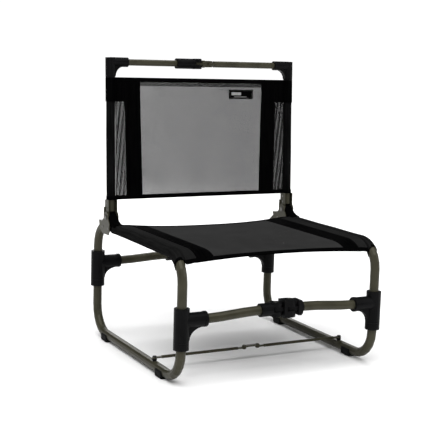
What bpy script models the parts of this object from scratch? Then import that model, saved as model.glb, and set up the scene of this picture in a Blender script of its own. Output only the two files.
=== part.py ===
"""Folding field chair: two bent side loops, swivelling cross bars with double-pinned centre hinges, a
fold-down sling back and a sling seat. Metres, +Z up, -Y is the front, the origin is on the floor
under the chair's middle."""

import math

import bmesh
import bpy
from mathutils import Matrix, Vector

# Side loops
HALF_WIDTH = 0.252  # chair middle to the middle of each side loop
HALF_DEPTH = 0.2515  # chair middle to the leg axes
TUBE_R = 0.0111
TUBE_WALL = 0.0011
FLOOR_RAIL_Z = 0.015
SEAT_RAIL_Z = 0.292
TOP_BEND_R = 0.060
BOTTOM_BEND_R = 0.065
BEND_STEPS = 6
RAIL_END_Y = 0.160  # the seat rail ends here, inside the bracket
REAR_END_Y = 0.168  # and the rear leg's top run starts here

# Cross bars: each is two halves, pinned to a link that keeps the pins PIN_GAP apart
PIN_X = 0.018
FRONT_BAR_Z = 0.1518
FRONT_RISE = 0.007
REAR_BAR_Z = 0.1894
REAR_RISE = 0.0057
FRONT_TEE = (0.0873, 0.1795)  # bottom of the stop collar, top of the tee
REAR_TEE = (0.1280, 0.2184)
COLLAR_HEIGHT = 0.0165
TEE_R = 0.0175
TEE_WEB = 0.014  # thickness of the web under the arm
TEE_ARM_R = 0.0165
TEE_ARM_END = 0.0588  # from the leg axis to the mouth of the arm
BORE_GAP = 0.0003
BAR_START = 0.028  # from the leg axis to the end of the bar, inside the tee's arm

# Brace above the floor rails
BRACE_Y = -0.1135
BRACE_Z = 0.033
ROD_R = 0.0036
EYE_R = 0.0056
EYE_HALF_WIDTH = 0.0042
EYE_THICK = 0.003

# Back frame: n is the back's normal, to the rear, and s runs up along the uprights
PIVOT = Vector((0.0, 0.1645, 0.318))
LEAN = math.radians(3.0)
UPRIGHT_R = 0.0095
UPRIGHT_WALL = 0.001
TOP_BAR_S = 0.380
TOP_TUBE_R = 0.008
TOP_TUBE_WALL = 0.001
ELBOW_R = 0.0122
ELBOW_ARM_R = 0.0118
ELBOW_LOW_S = 0.3446
ELBOW_TOP_S = 0.391
ELBOW_WEB = 0.013
TOP_SOCKET_R = 0.013
ELBOW_ARM_END = 0.045
SHOE_TOP_S = 0.043

# Fabric
SLEEVE_R = 0.0127
SEAT_Z = 0.299
SEAT_EDGE_X = 0.2361
SEAT_AXIS_X = 0.2355
SEAT_THICK = 0.0014
SEAT_FRONT_Y = -0.236
SEAT_REAR_Y = 0.1385
BACK_THICK = 0.0014
BACK_S = (0.044, 0.341)
BACK_EDGE_X = 0.2385
BACK_AXIS_X = 0.2379
FLAP_MIDDLE_GAP = 0.00015

X, Y, Z = Vector((1, 0, 0)), Vector((0, 1, 0)), Vector((0, 0, 1))
S = Vector((0, math.sin(LEAN), math.cos(LEAN)))
N = Vector((0, math.cos(LEAN), -math.sin(LEAN)))
SIDES = {"left": -1, "right": 1}

for old in list(bpy.data.objects):
    bpy.data.objects.remove(old, do_unlink=True)
PARTS = bpy.data.collections.new("folding_chair")
CUTTERS = bpy.data.collections.new("cutters")
for group in (PARTS, CUTTERS):
    bpy.context.scene.collection.children.link(group)


def material(name, colour, roughness, metallic=0.0):
    made = bpy.data.materials.new(name)
    made.use_nodes = True
    shader = made.node_tree.nodes["Principled BSDF"]
    shader.inputs["Base Color"].default_value = (*colour, 1)
    shader.inputs["Roughness"].default_value = roughness
    shader.inputs["Metallic"].default_value = metallic
    return made


PAINT = material("olive_paint", (0.075, 0.070, 0.045), 0.45, 0.3)
PLASTIC = material("black_plastic", (0.012, 0.012, 0.013), 0.5)
STEEL = material("dark_steel", (0.10, 0.10, 0.09), 0.4, 0.8)
RUBBER = material("black_foot", (0.010, 0.010, 0.010), 0.7)
FABRIC = material("black_fabric", (0.010, 0.010, 0.010), 0.9)
MESH = material("mesh_fabric", (0.045, 0.045, 0.045), 0.9)


def add_empty(name, at, parent=None):
    made = bpy.data.objects.new(name, None)
    made.location = at
    PARTS.objects.link(made)
    hang(made, parent)
    return made


def hang(piece, parent):
    """Parents a piece that is built in world coordinates, without moving it."""
    if parent is None:
        return
    bpy.context.view_layer.update()
    piece.parent = parent
    piece.matrix_parent_inverse = parent.matrix_world.inverted()


def add_object(name, mesh, look=None, parent=None):
    """A named sub-part, or with no look a hidden cutter."""
    made = bpy.data.objects.new(name, mesh)
    if look:
        mesh.materials.append(look)
        mesh.shade_smooth()
        mesh.set_sharp_from_angle(angle=math.radians(35))
        PARTS.objects.link(made)
    else:
        made.hide_render = True
        made.display_type = "WIRE"
        CUTTERS.objects.link(made)
    hang(made, parent)
    return made


def mesh_from(work, name):
    mesh = bpy.data.meshes.new(name)
    work.to_mesh(mesh)
    work.free()
    return mesh


def frame_matrix(at, right, out, up):
    return Matrix.Translation(at) @ Matrix((right, out, up)).transposed().to_4x4()


def box_mesh(low, high, frame=Matrix()):
    """A box between two corners, given in the frame's coordinates."""
    low, high = Vector(low), Vector(high)
    work = bmesh.new()
    bmesh.ops.create_cube(work, size=1.0)
    size = Matrix.Diagonal((*(high - low), 1))
    work.transform(frame @ Matrix.Translation((low + high) / 2) @ size)
    if frame.determinant() < 0:
        bmesh.ops.reverse_faces(work, faces=work.faces)
    return mesh_from(work, "box")


def rod_mesh(radius, start, end, sides=20):
    """A capped cylinder between two points."""
    start, end = Vector(start), Vector(end)
    run = end - start
    turn = run.to_track_quat("Z", "Y").to_matrix().to_4x4()
    work = bmesh.new()
    bmesh.ops.create_cone(
        work, cap_ends=True, segments=sides, radius1=radius, radius2=radius, depth=run.length
    )
    work.transform(Matrix.Translation((start + end) / 2) @ turn)
    return mesh_from(work, "rod")


def plate_mesh(outline, thick, frame):
    """A flat plate with an outline in the frame's first two axes, centred on its plane."""
    curve = bpy.data.curves.new("outline", "CURVE")
    curve.dimensions = "2D"
    curve.fill_mode = "BOTH"
    curve.extrude = thick / 2
    line = curve.splines.new("POLY")
    line.points.add(len(outline) - 1)
    for point, (across, along) in zip(line.points, outline):
        point.co = (across, along, 0, 1)
    line.use_cyclic_u = True
    mesh = mesh_of_curve(curve)
    mesh.transform(frame)
    if frame.determinant() < 0:
        mesh.flip_normals()
    return mesh


def mesh_of_curve(curve):
    """The closed mesh of a curve, with its caps welded on."""
    curve.render_resolution_u = 0
    holder = bpy.data.objects.new("holder", curve)
    bpy.context.scene.collection.objects.link(holder)
    bpy.context.view_layer.update()
    seen = holder.evaluated_get(bpy.context.evaluated_depsgraph_get())
    mesh = bpy.data.meshes.new_from_object(seen)
    bpy.data.objects.remove(holder)
    work = bmesh.new()
    work.from_mesh(mesh)
    bmesh.ops.remove_doubles(work, verts=work.verts, dist=1e-5)
    bmesh.ops.recalc_face_normals(work, faces=work.faces)
    work.to_mesh(mesh)
    work.free()
    return mesh


def pipe(name, points, radius, wall, look, parent, resolution=4):
    """A hollow tube with open ends along a line of points."""
    curve = bpy.data.curves.new(name, "CURVE")
    curve.dimensions = "3D"
    curve.bevel_depth = radius
    curve.bevel_resolution = resolution
    line = curve.splines.new("POLY")
    line.points.add(len(points) - 1)
    for point, at in zip(line.points, points):
        point.co = (*at, 1)
    made = add_object(name, mesh_of_curve(curve), look, parent)
    shell = made.modifiers.new("wall", "SOLIDIFY")
    shell.thickness = wall
    shell.offset = -1
    shell.use_even_offset = True
    return made


def cut(piece, mesh, operation="DIFFERENCE"):
    """Cuts a mesh out of a piece, or with UNION adds it."""
    tool = add_object(f"{piece.name}.tool", mesh)
    made = piece.modifiers.new(operation.lower(), "BOOLEAN")
    made.operation = operation
    made.solver = "EXACT"
    made.object = tool


def join(piece, mesh):
    cut(piece, mesh, "UNION")


def arc(centre, radius, start, end, steps=BEND_STEPS):
    """Points on an arc, with angles in degrees."""
    angles = [math.radians(start + (end - start) * i / steps) for i in range(steps + 1)]
    return [(centre[0] + radius * math.cos(a), centre[1] + radius * math.sin(a)) for a in angles]


def stud_mesh(middle, axis, length, shank_r, head_r, head):
    """A turned pin with a flat head at each end; length is between the heads."""
    profile = [(0, length / 2 + head), (head_r * 0.7, length / 2 + head)]
    profile += [(head_r, length / 2 + head * 0.5), (head_r, length / 2), (shank_r, length / 2)]
    profile += [(r, -h) for r, h in reversed(profile)]
    work = bmesh.new()
    ring = [work.verts.new((r, 0, h)) for r, h in profile]
    edges = [work.edges.new(pair) for pair in zip(ring, ring[1:])]
    bmesh.ops.spin(
        work, geom=ring + edges, axis=(0, 0, 1), cent=(0, 0, 0), angle=math.tau, steps=12,
        use_merge=True,
    )
    bmesh.ops.remove_doubles(work, verts=work.verts, dist=1e-6)
    bmesh.ops.dissolve_degenerate(work, edges=work.edges, dist=1e-7)
    bmesh.ops.recalc_face_normals(work, faces=work.faces)
    turn = Vector(axis).to_track_quat("Z", "Y").to_matrix().to_4x4()
    work.transform(Matrix.Translation(middle) @ turn)
    return mesh_from(work, "stud")


def on_back(x, n, s):
    """A point of the back frame in world coordinates."""
    return PIVOT + X * x + N * n + S * s


# Side loops and what is fixed to them


def seat_rail_arc(end_angle):
    """The front top bend, from the rail's level down to an angle."""
    steps = max(2, round(BEND_STEPS * (end_angle - 90) / 90))
    centre = (-HALF_DEPTH + TOP_BEND_R, SEAT_RAIL_Z - TOP_BEND_R)
    return arc(centre, TOP_BEND_R, 90, end_angle, steps)


def loop_points(x):
    rear_top = (HALF_DEPTH - TOP_BEND_R, SEAT_RAIL_Z - TOP_BEND_R)
    rear_bottom = (HALF_DEPTH - BOTTOM_BEND_R, FLOOR_RAIL_Z + BOTTOM_BEND_R)
    front_bottom = (-rear_bottom[0], rear_bottom[1])
    path = [(REAR_END_Y, SEAT_RAIL_Z)]
    path += arc(rear_top, TOP_BEND_R, 90, 0)
    path += arc(rear_bottom, BOTTOM_BEND_R, 0, -90)
    path += arc(front_bottom, BOTTOM_BEND_R, -90, -180)
    path += reversed(seat_rail_arc(180))
    path += [(RAIL_END_Y, SEAT_RAIL_Z)]
    return [(x, y, z) for y, z in path]


FOOT_Y = {"front": -0.160, "rear": 0.1735}
CHEEK_INNER = 0.0122
CHEEK_THICK = 0.002
PIVOT_R = 0.0039
STOP_Y = 0.1783  # front face of the bracket's stop, behind the shoe
STOP_TOP_Z = 0.342
TAB_Z = 0.3036  # underside of the bracket's rear tab


def cheek_outline():
    head = arc((PIVOT.y, PIVOT.z), 0.014, 45, 195, 7)
    low = [(0.142, 0.284), (0.148, 0.275), (0.188, 0.275), (0.206, 0.288)]
    tab = [(0.212, TAB_Z + CHEEK_THICK), (0.190, TAB_Z + CHEEK_THICK)]
    neck = [(STOP_Y + 0.002, 0.314), (STOP_Y + 0.002, STOP_TOP_Z), (STOP_Y - 0.004, STOP_TOP_Z)]
    return low + tab + neck + head + [(0.142, 0.302)]


def add_bracket(side, x, parent):
    """The pressed bracket that joins the loop's ends and holds the back's pivot."""
    middle = CHEEK_INNER + CHEEK_THICK / 2
    plane = frame_matrix(Vector((x - middle, 0, 0)), Y, Z, X)
    made = add_object(f"{side}_bracket", plate_mesh(cheek_outline(), CHEEK_THICK, plane), PAINT, parent)
    plane = frame_matrix(Vector((x + middle, 0, 0)), Y, Z, X)
    join(made, plate_mesh(cheek_outline(), CHEEK_THICK, plane))
    edge = CHEEK_INNER + CHEEK_THICK / 2
    join(made, box_mesh((x - edge, 0.192, TAB_Z), (x + edge, 0.2115, TAB_Z + CHEEK_THICK - 0.0002)))
    join(made, box_mesh((x - edge, STOP_Y, 0.324), (x + edge, STOP_Y + 0.0018, STOP_TOP_Z - 0.0002)))
    cut(made, rod_mesh(PIVOT_R + BORE_GAP, PIVOT + X * (x - 0.03), PIVOT + X * (x + 0.03)))


def add_foot(name, x, y, parent):
    """One clip-on foot: a block with the rail's groove in its top."""
    block = box_mesh((x - 0.0135, y - 0.019, 0), (x + 0.0135, y + 0.019, 0.019))
    made = add_object(name, block, RUBBER, parent)
    edge = made.modifiers.new("edge", "BEVEL")
    edge.width = 0.0045
    edge.segments = 3
    edge.limit_method = "ANGLE"
    cut(made, rod_mesh(TUBE_R + BORE_GAP, (x, y - 0.05, FLOOR_RAIL_Z), (x, y + 0.05, FLOOR_RAIL_Z)))


def add_side(side, sign, parent):
    x = sign * HALF_WIDTH
    pipe(f"{side}_loop", loop_points(x), TUBE_R, TUBE_WALL, PAINT, parent)
    add_bracket(side, x, parent)
    reach = 2 * (CHEEK_INNER + CHEEK_THICK + BORE_GAP)
    pivot = stud_mesh(PIVOT + X * x, X, reach, PIVOT_R, 0.0065, 0.0022)
    add_object(f"{side}_back_pivot", pivot, STEEL, parent)

    for end, y, low in (("front", -HALF_DEPTH, FRONT_TEE[0]), ("rear", HALF_DEPTH, REAR_TEE[0])):
        ring = rod_mesh(TEE_R, (x, y, low), (x, y, low + COLLAR_HEIGHT))
        collar = add_object(f"{end}_{side}_collar", ring, PLASTIC, parent)
        cut(collar, rod_mesh(TUBE_R + BORE_GAP, (x, y, low - 0.01), (x, y, low + 0.03)))
        add_foot(f"{end}_{side}_foot", x, FOOT_Y[end], parent)

    line = [(x, y, z) for y, z in [(0.1385, SEAT_RAIL_Z)] + seat_rail_arc(150)]
    gap = TUBE_R + 2 * BORE_GAP
    pipe(f"{side}_seat_sleeve", line, SLEEVE_R, SLEEVE_R - gap, FABRIC, parent)

    base = FLOOR_RAIL_Z + TUBE_R + BORE_GAP
    low = BRACE_Z - EYE_THICK / 2 - BORE_GAP
    high = BRACE_Z + EYE_THICK / 2 + BORE_GAP
    at = Vector((x, BRACE_Y, 0))
    post = add_object(f"{side}_brace_post", rod_mesh(EYE_R, at + Z * base, at + Z * low, 20), PLASTIC, parent)
    join(post, rod_mesh(0.0024, at + Z * (low - 0.001), at + Z * (high + 0.001), 12))
    join(post, rod_mesh(0.0045, at + Z * high, at + Z * (high + 0.002), 16))


# Cross bars


def fillet(foot, tip, count):
    """A concave quarter ellipse, upright at its foot and level at its tip."""
    turns = [math.radians(90 * i / (count - 1)) for i in range(count)]
    wide, tall = tip[0] - foot[0], tip[1] - foot[1]
    return [(tip[0] - wide * math.cos(a), foot[1] + tall * math.sin(a)) for a in turns]


def tee_outline(arm_z, low):
    """The web under the tee's arm: a concave quarter ellipse, in x from the leg and z."""
    near, far, foot = 0.006, TEE_ARM_END - 0.006, low + 0.004
    under = arm_z - TEE_ARM_R + 0.0012
    curve = fillet((TEE_R - 0.0006, foot), (far, under), 7)
    return [(near, arm_z), (near, foot)] + curve + [(far, arm_z)]


def add_tee(name, sign, way, arm_z, low, high, parent):
    """A tee that swivels on a leg; its arm holds a cross bar."""
    x, y = sign * HALF_WIDTH, way * HALF_DEPTH
    inward = -sign
    low = low + COLLAR_HEIGHT + BORE_GAP
    made = add_object(name, rod_mesh(TEE_R, (x, y, low), (x, y, high)), PLASTIC, parent)
    join(made, rod_mesh(TEE_ARM_R, (x, y, arm_z), (x + inward * TEE_ARM_END, y, arm_z)))
    lip = TEE_ARM_END - 0.007
    join(made, rod_mesh(TEE_R, (x + inward * lip, y, arm_z), (x + inward * (lip + 0.0068), y, arm_z)))
    plane = frame_matrix(Vector((x, y, 0)), X * inward, Z, (X * inward).cross(Z))
    join(made, plate_mesh(tee_outline(arm_z, low), TEE_WEB, plane))
    cut(made, rod_mesh(TUBE_R + BORE_GAP, (x, y, low - 0.01), (x, y, high + 0.01)))
    cut(made, rod_mesh(TUBE_R + BORE_GAP, (x + inward * (BAR_START - 0.002), y, arm_z),
                       (x + inward * (TEE_ARM_END + 0.01), y, arm_z)))


def bar_points(sign, end_x, y, low_z, rise):
    """A half bar's line: level in the tee, rising gently, level again in the hinge."""
    tee_mouth = HALF_WIDTH - TEE_ARM_END - 0.003
    hinge_mouth = COLLAR_END + 0.010
    steps = 4
    points = [(sign * (HALF_WIDTH - BAR_START), y, low_z)]
    for i in range(steps + 1):
        t = i / steps
        x = tee_mouth + (hinge_mouth - tee_mouth) * t
        points.append((sign * x, y, low_z + rise * t * t * (3 - 2 * t)))
    return points + [(sign * end_x, y, low_z + rise)]


class Hinge:
    """Sizes of a bar's centre hinge, in a frame with x along the bar and out towards the open side."""

    def __init__(self, frame, tube_r, socket_r, socket_start, tongue, half_gap, block_half, shoulder):
        self.frame = frame
        self.tube_r = tube_r
        self.socket_r = socket_r
        self.socket_start = socket_start
        self.tongue = tongue
        self.half_gap = half_gap
        self.block_half = block_half
        self.shoulder = shoulder

    def at(self, x, out=0.0, up=0.0):
        return self.frame @ Vector((x, out, up))

    def upright(self, radius, x, half, sides=20):
        return rod_mesh(radius, self.at(x, 0, -half), self.at(x, 0, half), sides)

    def block(self, low, high):
        return box_mesh(low, high, self.frame)


PIN_R = 0.003
TUBE_DEPTH_X = 0.036  # where the left socket's tube bore ends
WEB = 0.0003
INSET = 0.0002  # keeps joined shapes from sharing a plane or an edge


def add_left_socket(name, hinge, parent):
    """The left half's end: a round socket with a slot for the link's tongue."""
    r = hinge.socket_r
    made = add_object(name, rod_mesh(r, hinge.at(hinge.socket_start), hinge.at(-PIN_X)), PLASTIC, parent)
    join(made, hinge.upright(r, -PIN_X, r - INSET))
    slot = hinge.half_gap
    edge = hinge.tongue + WEB
    cut(made, hinge.block((-PIN_X - hinge.tongue - 0.0006, -edge, -slot), (0.01, r + 0.01, slot)))
    bore = hinge.tube_r + BORE_GAP
    cut(made, rod_mesh(bore, hinge.at(hinge.socket_start - 0.01), hinge.at(-TUBE_DEPTH_X)))
    cut(made, hinge.upright(PIN_R + 0.0002, -PIN_X, 0.05, 12))


def add_link(name, hinge, block_r, parent, look=PLASTIC):
    """The link between the two pins: a tongue to the left, a slotted block to the right."""
    half = hinge.half_gap - WEB
    tongue = hinge.tongue
    made = add_object(name, hinge.upright(tongue, -PIN_X, half), look, parent)
    face = -PIN_X + hinge.socket_r + 0.0005
    neck, slim = tongue - INSET, half - INSET
    join(made, hinge.block((-PIN_X, -neck, -slim), (face + 0.001, neck, slim)))
    wide, tall = block_r - INSET, hinge.block_half
    join(made, hinge.block((face, -wide, -tall), (PIN_X, wide, tall)))
    join(made, hinge.upright(block_r, PIN_X, tall - INSET))
    slot = hinge.half_gap
    cut(made, hinge.block((PIN_X - tongue - 0.0006, -tongue - WEB, -slot), (0.06, block_r + 0.01, slot)))
    return made


def bore_link(link, hinge):
    for x in (-PIN_X, PIN_X):
        cut(link, hinge.upright(PIN_R + 0.0002, x, 0.05, 12))


def add_right_socket(name, hinge, collar_r, collar_end, parent, look=PLASTIC):
    """The right half's end: a tongue in the link's slot and a collar on the tube."""
    half = hinge.half_gap - WEB
    tongue = hinge.tongue
    made = add_object(name, hinge.upright(tongue, PIN_X, half), look, parent)
    neck, slim = tongue - INSET, half - INSET
    join(made, hinge.block((PIN_X, -neck, -slim), (hinge.shoulder + 0.001, neck, slim)))
    join(made, rod_mesh(collar_r, hinge.at(hinge.shoulder), hinge.at(collar_end)))
    cut(made, hinge.upright(PIN_R + 0.0002, PIN_X, 0.05, 12))
    return made


def add_pins(end, hinge, parent):
    left = 2 * (hinge.socket_r + BORE_GAP)
    right = 2 * (hinge.block_half + BORE_GAP)
    up = hinge.frame.to_3x3() @ Z
    for side, x, length in (("left", -PIN_X, left), ("right", PIN_X, right)):
        pin = stud_mesh(hinge.at(x), up, length, PIN_R, 0.005, 0.0014)
        add_object(f"{end}_{side}_pin", pin, STEEL, parent)


SOCKET_R = 0.0155
SOCKET_START = -0.0585
BLOCK_HALF = 0.020
SHOULDER = 0.036
COLLAR_R = 0.013
COLLAR_END = 0.052
COLLAR_BLOCK_HALF = 0.0148
COLLAR_OUTLINE = [  # the chamfered block round the right collar, in x and z
    (SHOULDER + 0.0002, -0.0165), (0.0440, -0.0165), (0.0475, -0.0120), (0.0485, 0.0105), (0.0440, 0.0182),
    (SHOULDER + 0.0002, 0.0182),
]
TONGUE = 0.011
HALF_GAP = 0.005


def add_cross_bar(end, way, bar_z, rise, tee_span, bodies):
    """The front or the rear bar, with its tees, tubes and centre hinge."""
    y = way * HALF_DEPTH
    frame = frame_matrix(Vector((0, y, bar_z + rise)), X, Y * way, Z)
    hinge = Hinge(frame, TUBE_R, SOCKET_R, SOCKET_START, TONGUE, HALF_GAP, BLOCK_HALF, SHOULDER)
    left, link, right = bodies
    for side, sign, parent in (("left", -1, left), ("right", 1, right)):
        add_tee(f"{end}_{side}_tee", sign, way, bar_z, *tee_span, parent)
        inner = TUBE_DEPTH_X + 0.0008 if sign < 0 else SHOULDER + 0.0042
        line = bar_points(sign, inner, y, bar_z, rise)
        pipe(f"{end}_{side}_bar", line, TUBE_R, TUBE_WALL, PAINT, parent)
    add_left_socket(f"{end}_left_socket", hinge, left)
    bore_link(add_link(f"{end}_hinge_link", hinge, SOCKET_R, link), hinge)
    socket = add_right_socket(f"{end}_right_socket", hinge, COLLAR_R, COLLAR_END, right)
    end_plane = hinge.frame @ frame_matrix(Vector(), X, Z, X.cross(Z))
    join(socket, plate_mesh(COLLAR_OUTLINE, 2 * COLLAR_BLOCK_HALF, end_plane))
    bore = TUBE_R + BORE_GAP
    cut(socket, rod_mesh(bore, hinge.at(SHOULDER + 0.004), hinge.at(COLLAR_END + 0.01)))
    add_pins(end, hinge, link)


TOP_SOCKET_START = -0.075
TOP_SHOULDER = 0.030
TOP_PLUG_END = 0.046
TOP_SLOT = 0.0034
TOP_TONGUE = 0.0078


def add_top_bar(bodies):
    """The thinner bar across the top of the back, with its elbows and centre hinge."""
    frame = frame_matrix(on_back(0, 0, TOP_BAR_S), X, -N, S)
    slot = (TOP_TONGUE, TOP_SLOT)
    hinge = Hinge(frame, TOP_TUBE_R, TOP_SOCKET_R, TOP_SOCKET_START, *slot, TOP_TUBE_R, TOP_SHOULDER)
    left, link, right = bodies
    for side, sign, parent in (("left", -1, left), ("right", 1, right)):
        add_elbow(f"top_{side}_elbow", sign, parent)
        inner = TUBE_DEPTH_X + 0.0008 if sign < 0 else TOP_SHOULDER + 0.0033
        ends = [on_back(sign * at, 0, TOP_BAR_S) for at in (HALF_WIDTH - 0.0145, inner)]
        pipe(f"top_{side}_bar", ends, TOP_TUBE_R, TOP_TUBE_WALL, PAINT, parent)
    add_left_socket("top_left_socket", hinge, left)
    knuckle = add_link("top_hinge_link", hinge, 0.0082, link, PAINT)
    join(knuckle, rod_mesh(0.0095, hinge.at(-0.0043), hinge.at(0.0035)))
    plug = add_right_socket("top_right_plug", hinge, TOP_TUBE_R, TOP_SHOULDER + 0.003, right, PAINT)
    bore = TOP_TUBE_R - TOP_TUBE_WALL - BORE_GAP
    join(plug, rod_mesh(bore, hinge.at(TOP_SHOULDER + 0.002), hinge.at(TOP_PLUG_END)))
    join(knuckle, hinge.upright(PIN_R, -PIN_X, TOP_SOCKET_R, 12))
    join(knuckle, hinge.upright(PIN_R, PIN_X, TOP_TUBE_R - 0.001, 12))


def add_elbow(name, sign, parent):
    """An elbow that swivels on an upright and holds the top bar."""
    x = sign * HALF_WIDTH
    mouth = x - sign * ELBOW_ARM_END
    trunk = rod_mesh(ELBOW_R, on_back(x, 0, ELBOW_LOW_S), on_back(x, 0, ELBOW_TOP_S))
    made = add_object(name, trunk, PLASTIC, parent)
    join(made, rod_mesh(ELBOW_ARM_R, on_back(x, 0, TOP_BAR_S), on_back(mouth, 0, TOP_BAR_S)))
    under = TOP_BAR_S - ELBOW_ARM_R + 0.0012
    curve = fillet((ELBOW_R - 0.0006, ELBOW_LOW_S + 0.0012), (0.034, under), 6)
    outline = [(0.004, TOP_BAR_S), (0.004, curve[0][1])] + curve + [(0.034, TOP_BAR_S)]
    inward = -X * sign
    plane = frame_matrix(on_back(x, 0, 0), inward, S, inward.cross(S))
    join(made, plate_mesh(outline, ELBOW_WEB, plane))
    cut(made, rod_mesh(UPRIGHT_R + BORE_GAP, on_back(x, 0, 0.34), on_back(x, 0, 0.386)))
    start = x - sign * 0.0135
    cut(made, rod_mesh(TOP_TUBE_R + BORE_GAP, on_back(start, 0, TOP_BAR_S),
                       on_back(mouth - sign * 0.01, 0, TOP_BAR_S)))


# Uprights


def shoe_outline():
    """The side of the upright's shoe, rounded about the pivot, in n and s."""
    return arc((0, 0), 0.012, 180, 360, 8) + [(0.012, SHOE_TOP_S), (-0.012, SHOE_TOP_S)]


def add_upright(side, sign, parent):
    x = sign * HALF_WIDTH
    ends = [on_back(x, 0, s) for s in (0.0145, 0.384)]
    pipe(f"{side}_upright", ends, UPRIGHT_R, UPRIGHT_WALL, PAINT, parent)
    plane = frame_matrix(on_back(x, 0, 0), N, S, N.cross(S))
    shoe = add_object(f"{side}_shoe", plate_mesh(shoe_outline(), 0.0234, plane), PAINT, parent)
    frame = frame_matrix(on_back(x, 0, 0), X, N, S)
    cut(shoe, box_mesh((-0.0098, -0.02, -0.02), (0.0098, 0.010, 0.06), frame))
    cut(shoe, rod_mesh(PIVOT_R + BORE_GAP, on_back(x - 0.03, 0, 0), on_back(x + 0.03, 0, 0)))
    line = [on_back(x, 0, s) for s in BACK_S]
    pipe(f"{side}_back_sleeve", line, SLEEVE_R, SLEEVE_R - UPRIGHT_R - BORE_GAP, FABRIC, parent)
    ring = [on_back(x, 0, s) for s in (0.342, ELBOW_LOW_S - BORE_GAP)]
    pipe(f"{side}_upright_collar", ring, ELBOW_R, ELBOW_R - UPRIGHT_R - BORE_GAP, PLASTIC, parent)


# Brace


def add_brace(bodies):
    """Two flattened-end rods above the floor rails, joined by a small plate."""
    left, link, right = bodies
    for side, sign, parent in (("left", -1, left), ("right", 1, right)):
        outer = Vector((sign * HALF_WIDTH, BRACE_Y, BRACE_Z))
        inner = Vector((sign * PIN_X, BRACE_Y, BRACE_Z))
        inward = -X * sign
        rod = rod_mesh(ROD_R, outer + inward * 0.018, inner - inward * 0.018, 12)
        made = add_object(f"brace_{side}_rod", rod, PAINT, parent)
        for at, way in ((outer, inward), (inner, -inward)):
            frame = frame_matrix(at, way, Z.cross(way), Z)
            half = EYE_THICK / 2
            join(made, rod_mesh(EYE_R, at - Z * half, at + Z * half, 16))
            join(made, box_mesh((0, -EYE_HALF_WIDTH, -half), (0.022, EYE_HALF_WIDTH, half), frame))
            cut(made, rod_mesh(0.0027, at - Z * 0.01, at + Z * 0.01, 12))
    low = BRACE_Z + EYE_THICK / 2 + BORE_GAP
    ends = [Vector((x, BRACE_Y, low)) for x in (-PIN_X, PIN_X)]
    bar = box_mesh(ends[0] - Y * EYE_R, ends[1] + Y * EYE_R + Z * 0.003)
    plate = add_object("brace_link", bar, PAINT, link)
    foot = BRACE_Z - EYE_THICK / 2 - BORE_GAP
    for at in ends:
        join(plate, rod_mesh(EYE_R, at, at + Z * 0.003, 16))
        under = Vector((at.x, at.y, foot))
        join(plate, rod_mesh(0.0024, under - Z * 0.0005, at + Z * 0.001, 12))
        join(plate, rod_mesh(0.0045, under - Z * 0.0015, under, 16))
        join(plate, rod_mesh(0.0042, at + Z * 0.0028, at + Z * 0.0045, 16))


# Fabric panels


def add_flaps(bodies):
    """The seat and back panels, each in two halves that meet at the fold in the middle."""
    for side, sign in SIDES.items():
        ends = sorted((sign * SEAT_EDGE_X, sign * FLAP_MIDDLE_GAP))
        half = SEAT_THICK / 2
        low = (ends[0], SEAT_FRONT_Y, SEAT_Z - half)
        high = (ends[1], SEAT_REAR_Y, SEAT_Z + half)
        add_object(f"seat_{side}_panel", box_mesh(low, high), MESH, bodies[f"seat_{side}"])
        ends = sorted((sign * BACK_EDGE_X, sign * FLAP_MIDDLE_GAP))
        frame = frame_matrix(on_back(0, 0, 0), X, N, S)
        half = BACK_THICK / 2
        low = (ends[0], -half, BACK_S[0])
        high = (ends[1], half, BACK_S[1])
        add_object(f"back_{side}_panel", box_mesh(low, high, frame), MESH, bodies[f"back_{side}"])


# Joint frames: one empty for each moving body, on its joint's axis


def bar_bodies(end, at_left, at_right, left_parent, right_parent, y_out):
    """Empties of a bar's two halves and its link."""
    left = add_empty(f"{end}_left_axis", at_left, left_parent)
    link = add_empty(f"{end}_link_axis", y_out, left)
    right = add_empty(f"{end}_right_axis", at_right, right_parent)
    return left, link, right


left_side = add_empty("left_side_axis", (-HALF_WIDTH, 0, 0))
right_side = add_empty("right_side_axis", (HALF_WIDTH, -HALF_DEPTH, 0), left_side)
uprights = {
    "left": add_empty("left_back_axis", PIVOT - X * HALF_WIDTH, left_side),
    "right": add_empty("right_back_axis", PIVOT + X * HALF_WIDTH, right_side),
}
add_side("left", -1, left_side)
add_side("right", 1, right_side)
for end, way, bar_z, rise, span in (
    ("front", -1, FRONT_BAR_Z, FRONT_RISE, FRONT_TEE),
    ("rear", 1, REAR_BAR_Z, REAR_RISE, REAR_TEE),
):
    legs = [(sign * HALF_WIDTH, way * HALF_DEPTH, bar_z) for sign in (-1, 1)]
    pin = (-PIN_X, way * HALF_DEPTH, bar_z + rise)
    axes = bar_bodies(end, *legs, left_side, right_side, pin)
    add_cross_bar(end, way, bar_z, rise, span, axes)
posts = [(sign * HALF_WIDTH, BRACE_Y, BRACE_Z) for sign in (-1, 1)]
add_brace(bar_bodies("brace", *posts, left_side, right_side, (-PIN_X, BRACE_Y, BRACE_Z)))
tops = [on_back(sign * HALF_WIDTH, 0, TOP_BAR_S) for sign in (-1, 1)]
add_top_bar(bar_bodies("top", *tops, *uprights.values(), on_back(-PIN_X, 0, TOP_BAR_S)))
for side, sign in SIDES.items():
    add_upright(side, sign, uprights[side])
seat_left = add_empty("seat_left_axis", (-SEAT_AXIS_X, 0, SEAT_Z), left_side)
seat_right = add_empty("seat_right_axis", (0, 0, SEAT_Z - SEAT_THICK / 2 - BORE_GAP), seat_left)
back_left = add_empty("back_left_axis", on_back(-BACK_AXIS_X, 0, 0), uprights["left"])
back_right = add_empty("back_right_axis", on_back(0, -BACK_THICK / 2 - BORE_GAP, 0), back_left)
add_flaps({
    "seat_left": seat_left, "seat_right": seat_right, "back_left": back_left, "back_right": back_right,
})
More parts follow.
